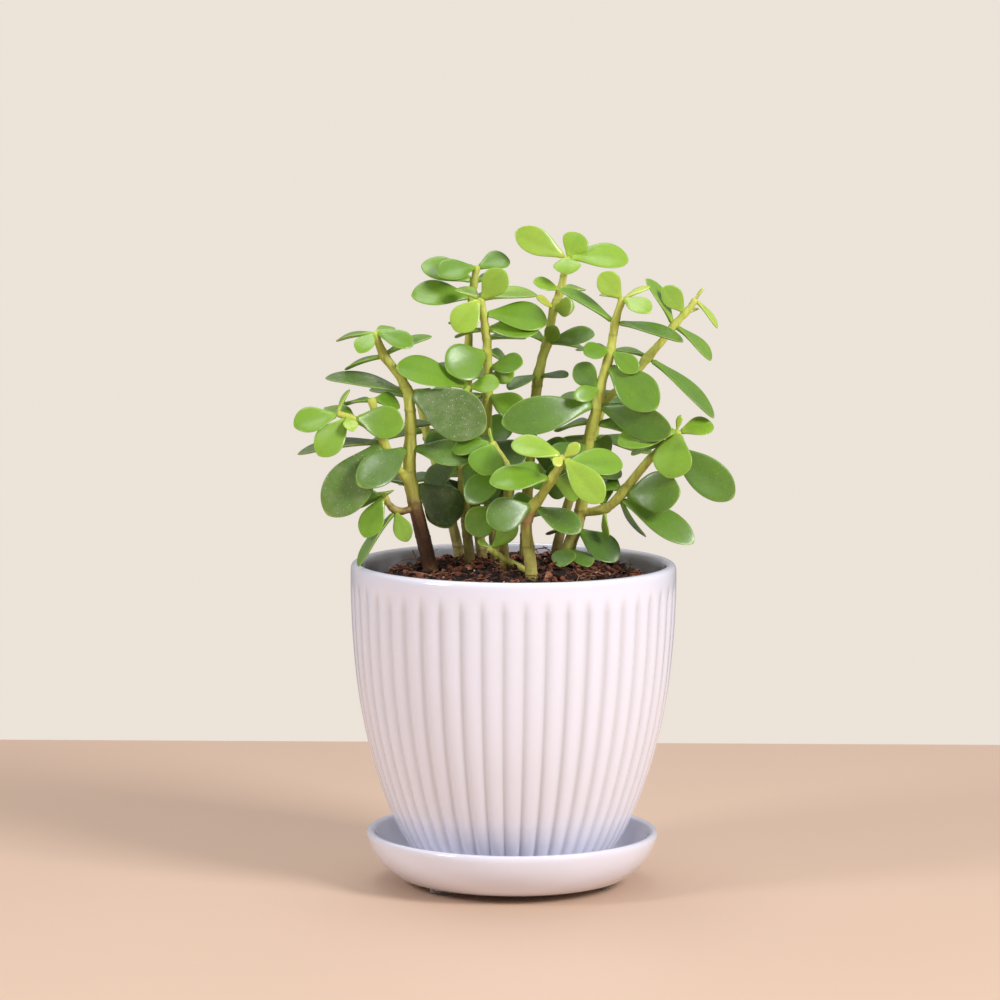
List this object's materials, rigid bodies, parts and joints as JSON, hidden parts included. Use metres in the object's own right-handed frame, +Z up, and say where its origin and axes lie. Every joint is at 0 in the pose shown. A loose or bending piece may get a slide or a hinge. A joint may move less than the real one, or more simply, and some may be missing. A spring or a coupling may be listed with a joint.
{
  "type": "potted jade plant",
  "caption": "Branching jade plant with thick oval leaves in potting soil, in a ribbed white glazed pot that stands on its own saucer with clear bumper feet.",
  "frame": {"origin": "centre of the pot's axis, on the surface that the bumper feet stand on", "axes": "+Z up along the pot's axis, +X to the right of a viewer in front, -Y towards the viewer, the side where the low front stem grows"},
  "size_m": [0.1471, 0.11, 0.2224],
  "materials": {
    "glaze": "gloss",
    "clear_rubber": "satin",
    "soil": "matte",
    "stem": "satin",
    "leaf": "satin"
  },
  "bodies": {
    "root": {"bumper_1": "clear_rubber", "bumper_2": "clear_rubber", "bumper_3": "clear_rubber", "cutting": "stem", "leaves_back_2": "leaf", "leaves_back_3": "leaf", "leaves_back_4": "leaf", "leaves_back_tip": "leaf", "leaves_branch_2": "leaf", "leaves_branch_3": "leaf", "leaves_branch_tip": "leaf", "leaves_cutting": "leaf", "leaves_front_2": "leaf", "leaves_front_3": "leaf", "leaves_front_tip": "leaf", "leaves_left_3": "leaf", "leaves_left_4": "leaf", "leaves_left_5": "leaf", "leaves_left_branch_tip": "leaf", "leaves_left_low": "leaf", "leaves_left_outer_3": "leaf", "leaves_left_outer_tip": "leaf", "leaves_left_tip": "leaf", "leaves_low_middle": "leaf", "leaves_low_right_2": "leaf", "leaves_low_right_3": "leaf", "leaves_low_right_tip": "leaf", "leaves_middle_2": "leaf", "leaves_middle_3": "leaf", "leaves_middle_4": "leaf", "leaves_middle_5": "leaf", "leaves_middle_back_2": "leaf", "leaves_middle_back_3": "leaf", "leaves_middle_back_4": "leaf", "leaves_middle_back_tip": "leaf", "leaves_middle_tip": "leaf", "leaves_rear_left": "leaf", "leaves_rear_right": "leaf", "leaves_right_2": "leaf", "leaves_right_3": "leaf", "leaves_right_4": "leaf", "leaves_right_5": "leaf", "leaves_right_low": "leaf", "leaves_right_tip": "leaf", "leaves_right_twig": "leaf", "leaves_short_2": "leaf", "leaves_short_tip": "leaf", "pot": "glaze", "saucer": "glaze", "soil": "soil", "stem_back": "stem", "stem_front": "stem", "stem_left": "stem", "stem_low_middle": "stem", "stem_middle": "stem", "stem_middle_back": "stem", "stem_rear_left": "stem", "stem_rear_right": "stem", "stem_right": "stem", "stem_short": "stem"}
  },
  "joints": []
}
